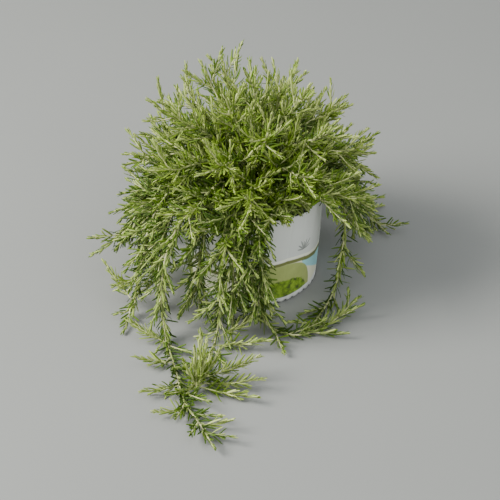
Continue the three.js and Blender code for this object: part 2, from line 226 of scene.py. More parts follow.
def skirt_line(node, reach, tip_height):
    """A shoot over the rim. Its azimuth is where the CAD put the foot of its node."""
    points = np.array([v.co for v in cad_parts[node].data.vertices]) * 1000
    foot = points[points[:, 2] < STEM_FOOT_Z + 1.5].mean(0)
    a = math.atan2(foot[1], foot[0])
    top = SKIRT_RISE + SKIRT_ARCH * reach
    shoulder = top - SKIRT_DROP
    return catmull([
        polar(SKIRT_FOOT_RADIUS, a, STEM_FOOT_Z), polar(SKIRT_KNEE_RADIUS, a, SKIRT_KNEE_Z),
        polar(POT_RIM, a, top), polar(SKIRT_SHOULDER * reach, a, shoulder),
        polar(reach, a, (shoulder + tip_height) / 2),
        polar(reach + SKIRT_FLARE, a, tip_height)])


class Line:
    """A stem's axis with a frame that doesn't twist, read at any distance along it."""

    def __init__(self, points):
        gaps = np.linalg.norm(np.diff(points, axis=0), axis=1)
        along = np.concatenate([[0], np.cumsum(gaps)])
        self.length = along[-1]
        count = max(4, int(self.length / LINE_STEP) + 1)
        self.s = np.linspace(0, self.length, count)
        self.p = np.stack([np.interp(self.s, along, points[:, k]) for k in range(3)], 1)
        self.t = unit(np.gradient(self.p, axis=0))
        side = np.cross(self.t[0], [0.31, 0.17, 0.94])
        sides = []
        for t in self.t:
            side = side - t * side.dot(t)
            side = side / np.linalg.norm(side)
            sides.append(side)
        self.n = np.array(sides)
        self.b = np.cross(self.t, self.n)

    def at(self, s):
        def read(a):
            return np.stack([np.interp(s, self.s, a[:, k]) for k in range(3)], 1)
        return read(self.p), unit(read(self.t)), unit(read(self.n)), unit(read(self.b))


def sleeve_radius(z):
    share = np.clip((z - SLEEVE_BOTTOM) / (SLEEVE_TOP - SLEEVE_BOTTOM), 0, 1)
    return SLEEVE_FOOT + (SLEEVE_TOP_RADIUS - SLEEVE_FOOT) * share + 1.6


def hides_face(p, feather):
    """Where a point would hang before the part of the sleeve that is left open to view."""
    x, y, z = p[..., 0], p[..., 1], p[..., 2]
    skin = -np.sqrt(np.maximum(FACE_SKIN ** 2 - x ** 2, 0))
    height = z + (y - skin) * math.tan(VIEW_ELEVATION)
    top = np.interp(x, FACE_TOP_X, FACE_TOP)
    return ((x > FACE_LEFT + feather) & (x < FACE_RIGHT) & (y < skin + 4)
            & (height < top + feather) & (height > 2 + feather))


def allowed(p, feather, own_face):
    """Keeps leaves above the floor, off the pot's wall and the open face, and in the box."""
    radius = np.hypot(p[..., 0], p[..., 1])
    z = p[..., 2]
    clear = ~((radius < sleeve_radius(z) + 1.0) & (z < SLEEVE_TOP + 3.5)
              & ~((radius < POT_RIM - 4) & (z > SOIL_TOP + 2))
              & ~((radius < POT_RIM + 0.6) & (z > POT_HEIGHT + 0.8)))
    inside = np.all((p > BOX_LOW - BOX_SLACK) & (p < BOX_HIGH + BOX_SLACK), axis=-1)
    face = hides_face(p, feather)
    if own_face:
        face &= z > 24
    return clear & inside & ~face & (z > 0.6)


def put(name, data):
    """A new object in the scene."""
    thing = bpy.data.objects.new(name, data)
    bpy.context.scene.collection.objects.link(thing)
    return thing


def tube(rows, sides, mirrored):
    """A tube's quads and the fans that end it, and where they lie on a strip.

    The points are the rings in turn, then the middle of each end. The strip goes from
    0 to 1 each way. Mirrored faces suit rings that turn the other way.
    """
    k, j = (a.ravel() for a in np.meshgrid(np.arange(rows - 1), np.arange(sides),
                                           indexing="ij"))
    after = (j + 1) % sides
    quads = np.stack([k * sides + j, k * sides + after, (k + 1) * sides + after,
                      (k + 1) * sides + j], 1)
    end = 0.04
    low, high = (end + (1 - 2 * end) * (k + more) / (rows - 1) for more in (0, 1))
    left, right = j / sides, (j + 1) / sides
    walls = [(left, low), (right, low), (right, high), (left, high)]
    j = np.arange(sides)
    after, top, middle = (j + 1) % sides, (rows - 1) * sides, rows * sides
    fans = np.concatenate([np.stack([0 * j + middle, after, j], 1),
                           np.stack([0 * j + middle + 1, top + j, top + after], 1)])
    left, centre, right = j / sides, (j + 0.5) / sides, (j + 1) / sides
    foot = [(centre, 0 * j), (right, 0 * j + end), (left, 0 * j + end)]
    tip = [(centre, 0 * j + 1), (left, 0 * j + 1 - end), (right, 0 * j + 1 - end)]
    walls, foot, tip = (np.stack([np.stack(corner, 1) for corner in part], 1)
                        for part in (walls, foot, tip))
    ends = np.concatenate([foot, tip])
    if mirrored:
        four, three = [1, 0, 3, 2], [0, 2, 1]
        return quads[:, four], fans[:, three], walls[:, four], ends[:, three]
    return quads, fans, walls, ends


class Foliage:
    """Collects the stems and leaves of one shoot and makes its mesh."""

    RINGS = np.array([0.0, 0.08, 0.32, 0.74, 0.94])
    WIDTHS = np.array([0.46, 0.84, 1.0, 0.94, 0.66])
    SECTION = np.array([[-1, -0.34], [-0.56, 0.20], [0, 0.04], [0.56, 0.20], [1, -0.34],
                        [0, -0.26]])

    def __init__(self, name):
        self.name = name
        self.verts, self.faces, self.count = [], [], 0
        self.slots, self.strips = [], []
        self.tone, self.age, self.place = [], [], []
        self.leaves = []

    def add_block(self, verts, quads, tris, slots_quads, slots_tris, tone, age, place,
                  strips):
        self.verts.append(verts)
        self.faces.append((quads + self.count, tris + self.count))
        self.slots.append((slots_quads, slots_tris))
        self.tone.append(tone)
        self.age.append(age)
        self.place.append(place)
        self.strips.append(strips)
        self.count += len(verts)

    def stem(self, line, radius0, radius1, age0, age1, sides=8, swell=0.0):
        s = line.s
        u = s / line.length
        radius = radius0 + (radius1 - radius0) * u + swell * np.exp(-s / 14)
        knots = 1 + 0.10 * np.cos(2 * math.pi * s / NODE_PITCH / 2)
        turn = np.linspace(0, 2 * math.pi, sides, endpoint=False) + math.pi / 4
        square = 1 + 0.06 * np.cos(4 * turn)
        ring = (np.cos(turn) * square)[None, :, None] * line.n[:, None] \
            + (np.sin(turn) * square)[None, :, None] * line.b[:, None]
        rings = line.p[:, None] + ring * (radius * knots)[:, None, None]
        rows = len(s)
        tip = line.p[-1] + line.t[-1] * radius[-1] * 0.8
        verts = np.concatenate([rings.reshape(-1, 3), line.p[:1], tip[None]])
        verts[:, 2] = np.maximum(verts[:, 2], 0.35)
        quads, tris, *strips = tube(rows, sides, False)
        age = np.concatenate([np.repeat(age0 + (age1 - age0) * u, sides), [age0, age1]])
        tone = np.full(len(verts), rng.random())
        place = np.concatenate([np.repeat(s / 100, sides), [0, line.length / 100]])
        self.add_block(verts, quads, tris, np.full(len(quads), 2), np.full(len(tris), 2),
                       tone, age, place, (1, *strips))

    def leaf_set(self, p, d, u, length, width, curl, age, own_face):
        """Queues leaves: base point, direction, upper side, size, curl and age."""
        self.leaves.append((p, d, u, length, width, curl, age,
                            np.full(len(p), own_face)))

    def make_leaves(self):
        p, d, u, length, width, curl, age, own = (
            np.concatenate(a) for a in zip(*self.leaves))
        low = 1.2 - (p[:, 2] + d[:, 2] * length)
        lift = np.clip(low / length, 0, None)
        d = unit(d + np.stack([0 * lift, 0 * lift, lift * 1.05], 1))
        side = unit(np.cross(d, u))
        u = np.cross(side, d)
        curl = np.where(np.abs(curl) < 0.02, 0.02, curl)
        probe = p[:, None] + d[:, None] * (length[:, None]
                                           * np.array([0.35, 0.7, 1.0]))[..., None]
        feather = rng.uniform(-4, 4, len(p))[:, None]
        keep = np.where(own[:, None], allowed(probe, feather, True),
                        allowed(probe, feather, False)).all(1)
        p, d, u, side = p[keep], d[keep], u[keep], side[keep]
        length, width, curl, age = length[keep], width[keep], curl[keep], age[keep]
        n = len(p)
        s = np.concatenate([self.RINGS, [1.0]])
        bend = curl[:, None] * s
        ahead = length[:, None] * np.sin(bend) / curl[:, None]
        above = length[:, None] * (1 - np.cos(bend)) / curl[:, None]
        centre = p[:, None] + d[:, None] * ahead[..., None] + u[:, None] * above[..., None]
        over = u[:, None] * np.cos(bend)[..., None] - d[:, None] * np.sin(bend)[..., None]
        half = width[:, None] / 2 * self.WIDTHS
        rings = (centre[:, :-1, None]
                 + side[:, None, None] * (half[..., None] * self.SECTION[:, 0])[..., None]
                 + over[:, :-1, None] * (half[..., None] * self.SECTION[:, 1])[..., None])
        rows, sides = len(self.RINGS), len(self.SECTION)
        base = centre[:, :1] - d[:, None] * 0.3
        verts = np.concatenate([rings.reshape(n, -1, 3), base, centre[:, -1:]], 1)
        verts[..., 2] = np.maximum(verts[..., 2], 0.3)
        size = rows * sides + 2
        quads, tris, *strips = tube(rows, sides, True)
        around = np.where(np.arange(sides) < 4, 0, 1)
        step = (np.arange(n) * size)[:, None, None]
        tone = np.repeat(rng.random(n), size)
        place = np.tile(np.concatenate([np.repeat(self.RINGS, sides), [0, 1]]), n)
        self.add_block(verts.reshape(-1, 3), (quads + step).reshape(-1, 4),
                       (tris + step).reshape(-1, 3), np.tile(around, (rows - 1) * n),
                       np.tile(around, 2 * n), tone, np.repeat(age, size), place,
                       (n, *strips))

    def map_corners(self):
        """A map with a cell of its own for every stem, in the lowest band, and every leaf."""
        stems = [strips for strips in self.strips if strips[0] == 1]
        leaves = sum(strips[0] for strips in self.strips if strips[0] > 1)
        band = 0.14
        columns = math.ceil(math.sqrt(3 * max(leaves, 1)))
        rows = math.ceil(max(leaves, 1) / columns)
        quads_out, tris_out = [], []
        stem = leaf = 0
        for count, quads, tris in self.strips:
            if count == 1:
                corner = np.array([[stem / len(stems), 0]])
                size = np.array([1 / len(stems), band])
                stem += 1
            else:
                i = leaf + np.arange(count)
                corner = np.stack([(i % columns) / columns,
                                   band + (1 - band) * (i // columns) / rows], 1)
                size = np.array([1 / columns, (1 - band) / rows])
                leaf += count
            for part, out in ((quads, quads_out), (tris, tris_out)):
                inset = 0.07 + 0.86 * part
                cells = corner[:, None, None] + inset[None] * size
                out.append(cells.reshape(-1, 2))
        return np.concatenate(quads_out + tris_out)

    def build(self, materials):
        if self.leaves:
            self.make_leaves()
        verts = np.concatenate(self.verts) / 1000
        quads = np.concatenate([f[0] for f in self.faces])
        tris = np.concatenate([f[1] for f in self.faces])
        slots = np.concatenate([s[0] for s in self.slots] + [s[1] for s in self.slots])
        mesh = bpy.data.meshes.new(self.name)
        mesh.vertices.add(len(verts))
        mesh.vertices.foreach_set("co", verts.astype(np.float32).ravel())
        loops = np.concatenate([quads.ravel(), tris.ravel()])
        totals = np.concatenate([np.full(len(quads), 4), np.full(len(tris), 3)])
        starts = np.concatenate([[0], np.cumsum(totals)[:-1]])
        mesh.loops.add(len(loops))
        mesh.loops.foreach_set("vertex_index", loops.astype(np.int32))
        mesh.polygons.add(len(totals))
        mesh.polygons.foreach_set("loop_start", starts.astype(np.int32))
        mesh.polygons.foreach_set("material_index", slots.astype(np.int32))
        mesh.polygons.foreach_set("use_smooth", np.ones(len(totals), bool))
        mesh.update(calc_edges=True)
        mesh.validate()
        corners = mesh.uv_layers.new(name="OFBake")
        corners.data.foreach_set("uv", self.map_corners().astype(np.float32).ravel())
        for name, parts in (("tone", self.tone), ("age", self.age), ("place", self.place)):
            values = mesh.attributes.new(name, "FLOAT", "POINT")
            values.data.foreach_set("value", np.concatenate(parts).astype(np.float32))
        for material in materials:
            mesh.materials.append(material)
        return put(self.name, mesh)


def dress(foliage, line, start, tip_age_and_shade, own_face, tufts=0.6, size=1.0, spread=46):
    """Opposite pairs of leaves along a line, with short tufts in the axils of old ones."""
    steps = int((line.length - start - 1) / NODE_PITCH)
    if steps < 2:
        return
    s = line.length - 1 - np.arange(steps)[::-1] * NODE_PITCH
    s = s + rng.uniform(-0.4, 0.4, steps)
    p, t, n, b = line.at(s)
    phase = rng.uniform(0, math.pi)
    for half in (0, math.pi):
        turn = phase + (np.arange(steps) % 2) * math.pi / 2 + half
        turn = turn + rng.uniform(-0.5, 0.5, steps)
        out = between(n, b, turn)
        left = line.length - s
        lean = np.radians(14 + spread * smooth(2, 30, left)) + rng.normal(0, 0.2, steps)
        length = size * LEAF_LENGTH * (0.42 + 0.58 * smooth(0, 20, left)) \
            * rng.uniform(0.82, 1.12, steps)
        width = size * LEAF_WIDTH * (0.66 + 0.34 * smooth(0, 18, left)) \
            * rng.uniform(0.85, 1.15, steps)
        age = tip_age_and_shade - 0.85 * smooth(4, 60, left) + rng.normal(0, 0.1, steps)
        curl = rng.uniform(-0.15, 0.65, steps)
        d = unit(between(t, out, lean) + np.array([0, 0, 0.16])
                 + rng.normal(0, 0.08, (steps, 3)))
        u = unit(between(-out, t, lean) + np.array([0, 0, 0.7])
                 + rng.normal(0, 0.25, (steps, 3)))
        foliage.leaf_set(p + out * 0.3, d, u, length, width, curl, np.clip(age, 0, 1),
                         own_face)
        for _ in range(2):
            pick = (rng.random(steps) < tufts) & (left > 16)
            if not pick.any():
                continue
            m = int(pick.sum())
            turn2 = turn[pick] + rng.uniform(-0.7, 0.7, m)
            out2 = between(n[pick], b[pick], turn2)
            lean2 = rng.uniform(0.25, 0.7, m)
            d2 = unit(between(t[pick], out2, lean2) + rng.normal(0, 0.12, (m, 3)))
            u2 = unit(between(-out2, t[pick], lean2) + rng.normal(0, 0.3, (m, 3)))
            foliage.leaf_set(p[pick] + out2 * 0.4, d2, u2,
                             size * rng.uniform(6, 13, m), size * rng.uniform(1.2, 1.9, m),
                             rng.uniform(-0.1, 0.5, m),
                             np.clip(age[pick] + rng.uniform(0, 0.35, m), 0, 1), own_face)
    tip, ahead, n1, b1 = (a[-1] for a in (line.p, line.t, line.n, line.b))
    turn = rng.uniform(0, math.pi) + np.arange(6) * 2.4
    out = between(n1, b1, turn)
    lean = rng.uniform(0.08, 0.4, 6)
    d = unit(between(ahead, out, lean))
    u = unit(between(-out, ahead, lean))
    foliage.leaf_set(np.repeat(tip[None], 6, 0) - ahead * 0.8, d, u,
                     size * rng.uniform(5, 10, 6), size * rng.uniform(1.2, 1.8, 6),
                     rng.uniform(0, 0.3, 6), np.full(6, min(1, tip_age_and_shade)), own_face)


def twig_line(origin, ahead, out, lean, length, rise):
    """A side twig: it leaves at an angle and then turns towards the light."""
    d = unit(ahead * math.cos(lean) + out * math.sin(lean))
    end = unit(d + np.array([0, 0, rise]))
    points = np.array([origin, origin + d * length * 0.4,
                       origin + d * length * 0.55 + end * length * 0.2,
                       origin + d * length * 0.55 + end * length * 0.5])
    points[1:, 2] = np.maximum(points[1:, 2], 3.2)
    return Line(bezier(list(points), np.linspace(0, 1, 16)))


def add_twig(foliage, twig, tip_age_and_shade, own_face, size=0.92, spread=46):
    """Adds a twig with its leaves, unless it or its leaves would have no room."""
    reach = twig.p[-1] + twig.t[-1] * 8
    probe = np.concatenate([twig.p[len(twig.p) // 4:], reach[None]])
    beside = np.concatenate([probe + side for side in 7 * np.array(
        [[1, 0, 0], [-1, 0, 0], [0, -1, 0], [0, 0, -1.0]])])
    if not allowed(probe, 0.0, own_face).all() or allowed(beside, 0.0, own_face).mean() < 0.6:
        return
    foliage.stem(twig, 0.72, 0.42, 0.55, 1.0, sides=6)
    dress(foliage, twig, 2.5, tip_age_and_shade, own_face, tufts=0.5, size=size, spread=spread)


def add_twigs(foliage, line, where, lengths, lean, rise, tip_age_and_shade, own_face, flat=False,
              outward=False):
    p, t, n, b = line.at(where)
    turn = rng.uniform(0, 6.28)
    for i in range(len(where)):
        turn += GOLDEN
        out = n[i] * math.cos(turn) + b[i] * math.sin(turn)
        if flat and p[i][2] < 22:
            level = unit(np.cross(t[i], [0, 0, 1.0]))
            out = unit(level * (1 if i % 2 else -1) + np.array([0, 0, rng.uniform(0, 0.5)]))
        elif outward:
            away = unit(p[i] * [1, 1, 0])
            out = out - 2 * min(0, out.dot(away)) * away
        twig = twig_line(p[i], t[i], out, lean + rng.uniform(-0.15, 0.15), lengths[i],
                         rise + rng.uniform(-0.1, 0.15))
        add_twig(foliage, twig, tip_age_and_shade, own_face)


def add_lip_twigs(foliage, line, count, own_face, reach=LIP_REACH, height=LIP_HEIGHT,
                  aim=None):
    """Short leafy twigs from near the soil to the rim, to hide it; aim gives azimuths."""
    low = line.s[(line.p[:, 2] > 92) & (line.p[:, 2] < 116)]
    if len(low) == 0:
        return
    roots = line.at(rng.uniform(low[0], low[-1], count))[0]
    for root in roots:
        azimuth = math.atan2(root[1], root[0]) + rng.uniform(-0.45, 0.45)
        if aim:
            azimuth = rng.uniform(*aim)
        end = polar(rng.uniform(*reach), azimuth, rng.uniform(*height))
        middle = (root + end) / 2 + np.array([0, 0, rng.uniform(8, 15)])
        twig = Line(bezier([root, (root + middle) / 2, middle, end],
                           np.linspace(0, 1, 14)))
        add_twig(foliage, twig, rng.uniform(0.3, 0.8), own_face)


def finish_shoot(foliage, materials, node):
    piece = foliage.build(materials)
    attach(piece, "root")
    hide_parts(node)


def add_crown_shoot(i, materials):
    name = f"shoot_{i + 1:02d}"
    foliage = Foliage(name + "_leafy")
    line = Line(crown_line(i))
    over_face = hides_face(line.p, 0.0)
    if over_face[-1]:
        line = Line(line.p[:np.flatnonzero(~over_face)[-1] - 1])
    foliage.stem(line, 1.45, 0.62, 0.0, 1.0, swell=0.5)
    tip_age_and_shade = CROWN_AGE + CROWN_AGE_RANGE * ((i * 0.7548777) % 1)
    # Low crown shoots are made darker here: painted shade, as if from the crown above them.
    tip_age_and_shade = tip_age_and_shade - LOW_PAINTED_SHADE * smooth(*LOW_SHOOTS, i)
    dress(foliage, line, 0.16 * line.length, tip_age_and_shade, False)
    count = CROWN_TWIGS
    where = line.length * np.linspace(0.13, 0.88, count) + rng.uniform(-3, 3, count)
    lengths = rng.uniform(34, 52, count) * np.linspace(1.0, 0.6, count)
    add_twigs(foliage, line, where, lengths, 0.8, 0.3, tip_age_and_shade, False)
    if i >= FIRST_LIP_SHOOT:
        add_lip_twigs(foliage, line, CROWN_LIP_TWIGS, False)
    heading = math.atan2(line.p[-1][1], line.p[-1][0])
    if i >= FIRST_LIP_SHOOT and from_face(heading) < FACE_FADE + 0.35:
        add_lip_twigs(foliage, line, FACE_LIP_TWIGS, False, FACE_LIP_REACH, FACE_LIP_HEIGHT,
                      FACE_LIP_AIM)
    finish_shoot(foliage, materials, name)


def add_skirt_shoot(i, materials):
    name = f"skirt_{i + 1:02d}"
    foliage = Foliage(name + "_leafy")
    line = Line(skirt_line(name, *SKIRT[i]))
    foliage.stem(line, 1.4, 0.6, 0.0, 1.0, swell=0.5)
    dress(foliage, line, 0.12 * line.length, SKIRT_AGE_AND_SHADE, False, spread=44)
    count = SKIRT_TWIGS
    where = line.length * np.linspace(0.2, 0.92, count) + rng.uniform(-3, 3, count)
    lengths = rng.uniform(28, 46, count) * np.linspace(1.0, 0.7, count)
    add_twigs(foliage, line, where, lengths, 0.75, 0.1, SKIRT_AGE_AND_SHADE, False, outward=True)
    add_lip_twigs(foliage, line, SKIRT_LIP_TWIGS, False)
    finish_shoot(foliage, materials, name)


def add_trail_shoot(where_name, materials):
    name = "trail_" + where_name
    foliage = Foliage(name + "_leafy")
    line = Line(trail_line(TRAILS[where_name]))
    foliage.stem(line, 1.5, 0.6, 0.05, 0.95, swell=0.5)
    own_face = where_name in ("front_right", "right")
    dress(foliage, line, 12, TRAIL_AGE_AND_SHADE, own_face, spread=40, size=0.92)
    add_lip_twigs(foliage, line, TRAIL_LIP_TWIGS, own_face)
    count = max(7, int(line.length / TRAIL_TWIG_GAP))
    where = np.linspace(20, 0.95 * line.length, count) + rng.uniform(-4, 4, count)
    lengths = rng.uniform(20, 40, count) * np.linspace(1.0, 0.75, count)
    add_twigs(foliage, line, where, lengths, 0.7, 0.15, TRAIL_AGE_AND_SHADE, own_face, flat=True,
              outward=True)
    for start, end in SIDE_SHOOTS.get(where_name, []):
        start, end = np.array(start, float), np.array(end, float)
        root = line.p[np.argmin(np.linalg.norm(line.p - start, axis=1))]
        sag = np.array([0, 0, -0.10 * np.linalg.norm(end - root)])
        points = [root, root + (end - root) * 0.35 + sag * 0.5,
                  root + (end - root) * 0.7 + sag * 0.5, end]
        points = [np.array([q[0], q[1], max(q[2], 3.0)]) for q in points]
        twig = Line(bezier(points, np.linspace(0, 1, 16)))
        fan = end[2] > 40 and end[0] > -80
        add_twig(foliage, twig, 1.15 if fan else 1.0, True, size=0.95,
                 spread=20 if fan else 40)
    finish_shoot(foliage, materials, name)


# -------------------- materials
def linear(*rgb):
    """An 8-bit sRGB colour as the linear colour that shaders use."""
    out = []
    for v in rgb:
        v = v / 255
        out.append(v / 12.92 if v < 0.04045 else ((v + 0.055) / 1.055) ** 2.4)
    return (*out, 1.0)


class Nodes:
    """A short way to write a node material."""

    def __init__(self, name):
        self.material = bpy.data.materials.new(name)
        self.material.use_nodes = True
        self.tree = self.material.node_tree
        self.shader = self.tree.nodes["Principled BSDF"]

    def new(self, kind, **settings):
        node = self.tree.nodes.new(kind)
        for key, value in settings.items():
            setattr(node, key, value)
        return node

    def link(self, source, target):
        self.tree.links.new(source, target)

    def feed(self, value, socket):
        if isinstance(value, bpy.types.NodeSocket):
            self.link(value, socket)
        else:
            socket.default_value = value

    def set(self, node, **values):
        for key, value in values.items():
            self.feed(value, node.inputs[key])

    def attribute(self, name):
        return self.new("ShaderNodeAttribute", attribute_name=name).outputs["Fac"]

    def math(self, operation, a, b=0.0):
        node = self.new("ShaderNodeMath", operation=operation)
        for socket, value in zip(node.inputs, (a, b)):
            self.feed(value, socket)
        return node.outputs[0]

    def plus(self, a, b):
        return self.math("ADD", a, b)

    def minus(self, a, b):
        return self.math("SUBTRACT", a, b)

    def times(self, a, b):
        return self.math("MULTIPLY", a, b)

    def ramp(self, factor, stops):
        node = self.new("ShaderNodeValToRGB")
        ramp = node.color_ramp
        while len(ramp.elements) < len(stops):
            ramp.elements.new(0.5)
        for element, (place, colour) in zip(ramp.elements, stops):
            element.position = place
            element.color = colour
        self.link(factor, node.inputs["Fac"])
        return node.outputs["Color"]

    def grey(self, factor, low, high, start=0.3, end=0.7):
        """From the low grey to the high one, as the factor goes from start to end."""
        return self.ramp(factor, [(start, (low, low, low, 1)), (end, (high, high, high, 1))])

    def mix(self, factor, a, b, blend="MIX"):
        node = self.new("ShaderNodeMix", data_type="RGBA", blend_type=blend)
        sockets = [s for s in node.inputs if s.type == "RGBA"]
        for socket, value in [(node.inputs["Factor"], factor), (sockets[0], a),
                              (sockets[1], b)]:
            self.feed(value, socket)
        return next(s for s in node.outputs if s.type == "RGBA")

    def noise(self, scale, detail=3.0, roughness=0.55, stretch=(1, 1, 1)):
        place = self.new("ShaderNodeTexCoord").outputs["Object"]
        mapping = self.new("ShaderNodeMapping")
        mapping.inputs["Scale"].default_value = stretch
        self.link(place, mapping.inputs["Vector"])
        node = self.new("ShaderNodeTexNoise")
        self.link(mapping.outputs["Vector"], node.inputs["Vector"])
        self.set(node, Scale=scale, Detail=detail, Roughness=roughness)
        return node.outputs["Fac"]

    def paint(self, colour, roughness):
        self.feed(colour, self.shader.inputs["Base Color"])
        self.feed(roughness, self.shader.inputs["Roughness"])

    def bump(self, height, strength, distance):
        node = self.new("ShaderNodeBump")
        self.set(node, Strength=strength, Distance=distance, Height=height)
        self.link(node.outputs["Normal"], self.shader.inputs["Normal"])


def leaf_top_material():
    m = Nodes("rosemary_leaf_top")
    # The age attribute also carries painted shade: low and hanging shoots get lower values, so
    # darker leaves.
    age = m.attribute("age")
    tone = m.attribute("tone")
    place = m.attribute("place")
    shade = m.plus(age, m.times(m.minus(tone, 0.5), 0.34))
    colour = m.ramp(shade, [(0.0, linear(64, 94, 12)), (0.35, linear(91, 125, 18)),
                            (0.7, linear(128, 160, 36)), (1.0, linear(178, 198, 84))])
    tip = m.ramp(place, [(0.0, linear(150, 158, 96)), (0.12, linear(128, 128, 128)),
                         (0.8, linear(128, 128, 128)), (1.0, linear(168, 170, 110))])
    colour = m.mix(0.55, colour, tip, "OVERLAY")
    patch = m.noise(220, 2)
    colour = m.mix(m.times(patch, 0.35), colour, linear(62, 88, 14))
    m.paint(colour, 0.5)
    m.shader.inputs["Specular IOR Level"].default_value = 0.32
    m.bump(m.noise(900, 2), 0.25, 0.0004)
    return m.material


def leaf_under_material():
    m = Nodes("rosemary_leaf_underside")
    tone = m.attribute("tone")
    # The age attribute also carries painted shade: low and hanging shoots get lower values, so
    # darker undersides.
    age = m.attribute("age")
    shade = m.plus(m.times(age, 0.5), m.times(tone, 0.5))
    colour = m.ramp(shade, [(0.0, linear(112, 134, 48)), (0.5, linear(156, 174, 82)),
                            (1.0, linear(204, 212, 136))])
    felt = m.noise(1400, 2)
    colour = m.mix(m.times(felt, 0.4), colour, linear(118, 134, 66))
    m.paint(colour, 0.85)
    m.shader.inputs["Sheen Weight"].default_value = 0.12
    m.bump(felt, 0.4, 0.0003)
    return m.material


def stem_material():
    m = Nodes("rosemary_stem")
    age = m.attribute("age")
    tone = m.attribute("tone")
    bark = m.noise(260, 5, 0.65, (1, 1, 0.25))
    young = m.mix(tone, linear(202, 202, 150), linear(172, 180, 112))
    woody = m.ramp(bark, [(0.25, linear(66, 50, 34)), (0.55, linear(118, 96, 68)),
                          (0.8, linear(150, 132, 100))])
    grown = m.grey(m.plus(age, m.times(bark, 0.12)), 0, 1, 0.22, 0.42)
    colour = m.mix(grown, woody, young)
    m.paint(colour, 0.7)
    m.bump(bark, 0.6, 0.0006)
    return m.material


def soil_material():
    m = Nodes("moist_peat")
    grain = m.noise(420, 6, 0.7)
    colour = m.ramp(grain, [(0.3, linear(24, 17, 11)), (0.52, linear(50, 37, 25)),
                            (0.68, linear(84, 64, 44)), (0.85, linear(120, 98, 72))])
    m.paint(colour, m.grey(grain, 0.75, 0.98))
    m.bump(m.noise(700, 5, 0.7), 0.8, 0.0012)
    return m.material


def pot_material():
    m = Nodes("recycled_black_plastic")
    cloud = m.noise(40, 4)
    scuff = m.noise(320, 4, 0.6, (1, 1, 0.12))
    colour = m.ramp(cloud, [(0.35, linear(30, 30, 29)), (0.7, linear(44, 43, 41))])
    colour = m.mix(m.times(m.math("GREATER_THAN", scuff, 0.63), 0.35), colour,
                   linear(92, 88, 80))
    m.paint(colour, m.grey(scuff, 0.42, 0.66))
    m.bump(m.noise(1500, 3), 0.2, 0.0003)
    return m.material


# Half the width of a printed edge, in millimetres.
EDGE = 0.6


def sleeve_material():
    """Plain print: pale sky, cream line, olive hill, turquoise or cream, hedge, white hem."""
    m = Nodes("printed_card")
    turn = m.attribute("turn")
    height = m.attribute("height")
    wobble = m.times(m.minus(m.noise(30, 2), 0.5), 3.0)
    rough_edge = m.times(m.minus(m.noise(260, 3), 0.5), 7.0)

    def wave(level, swing):
        return m.plus(m.times(m.math("SINE", m.times(turn, 3.0)), swing), level)

    def below(line):
        """1 below a height, 0 above it, with an edge that is a little soft."""
        share = m.times(m.plus(m.minus(line, height), EDGE), 1 / (2 * EDGE))
        node = m.new("ShaderNodeClamp")
        m.link(share, node.inputs["Value"])
        return node.outputs["Result"]

    local = m.minus(m.math("FLOORED_MODULO", m.plus(turn, math.radians(60)),
                           math.radians(120)), math.radians(60))

    def blob(centre, half, level, rise, edge):
        """The height of an arched blob's edge above the foot, in millimetres."""
        across = m.math("DIVIDE", m.minus(local, math.radians(centre)), math.radians(half))
        bulge = m.math("POWER", m.math("ABSOLUTE", across), 2.4)
        rest = m.math("MAXIMUM", m.minus(1.0, bulge), 0.0)
        arch = m.times(m.math("POWER", rest, 0.42), rise)
        inside = m.math("LESS_THAN", m.math("ABSOLUTE", across), 1.0)
        return m.times(m.plus(m.plus(arch, level), edge), inside)

    border = wave(45.0, -6.5)
    paper = m.mix(m.noise(18, 3), linear(225, 227, 220), linear(214, 217, 209))
    colour = m.mix(below(m.plus(border, 1.7)), paper, linear(250, 250, 230))
    colour = m.mix(below(m.minus(border, 1.7)), colour, linear(118, 124, 66))
    colour = m.mix(below(m.minus(border, 6.5)), colour, linear(168, 226, 230))
    slope = m.plus(m.times(local, -42.0), 30.0)
    slope = m.math("MAXIMUM", slope, m.times(turn, -300.0))
    colour = m.mix(below(m.math("MINIMUM", slope, m.minus(border, 6.0))), colour,
                   linear(244, 244, 214))
    hill = m.math("MINIMUM", blob(-32, 35, 8.0, 38.0, wobble), m.minus(border, 2.0))
    leafy = m.mix(m.noise(120, 4), linear(156, 168, 94), linear(182, 194, 116))
    colour = m.mix(below(hill), colour, leafy)
    bushes = m.ramp(m.noise(210, 4), [(0.35, linear(66, 84, 30)), (0.5, linear(116, 148, 34)),
                                      (0.68, linear(152, 184, 52))])
    colour = m.mix(below(blob(-32, 31, 4.0, 23.0, rough_edge)), colour, bushes)
    for k, lean in enumerate((-70, -44, -20, 2, 24, 50, 78)):
        angle = math.radians(lean)
        x = m.times(m.plus(local, math.radians(7)), 66.0)
        y = m.minus(height, 55.0)
        long = m.plus(m.times(x, math.sin(angle)), m.times(y, math.cos(angle)))
        wide = m.minus(m.times(x, math.cos(angle)), m.times(y, math.sin(angle)))
        reach = 4.6 + 0.9 * (k % 3)
        far = m.math("POWER", m.math("DIVIDE", m.minus(long, reach), reach), 2.0)
        near = m.math("POWER", m.math("DIVIDE", wide, 0.85), 2.0)
        mark = m.math("LESS_THAN", m.plus(far, near), 1.0)
        colour = m.mix(m.times(mark, 0.75), colour, linear(122, 126, 120))
    hem = wave(7.5, 1.2)
    colour = m.mix(below(hem), colour, linear(236, 238, 232))
    fibre = m.noise(600, 3)
    m.paint(colour, m.grey(fibre, 0.42, 0.58))
    m.bump(fibre, 0.12, 0.0003)
    return m.material


def floor_material():
    m = Nodes("studio_floor")
    colour = m.mix(m.noise(3, 2), linear(128, 130, 126), linear(133, 135, 131))
    m.paint(colour, 0.8)
    return m.material


# -------------------- pot, soil and sleeve
def fill(mesh, verts, faces):
    mesh.from_pydata(verts, [], faces)
    mesh.polygons.foreach_set("use_smooth", [True] * len(mesh.polygons))


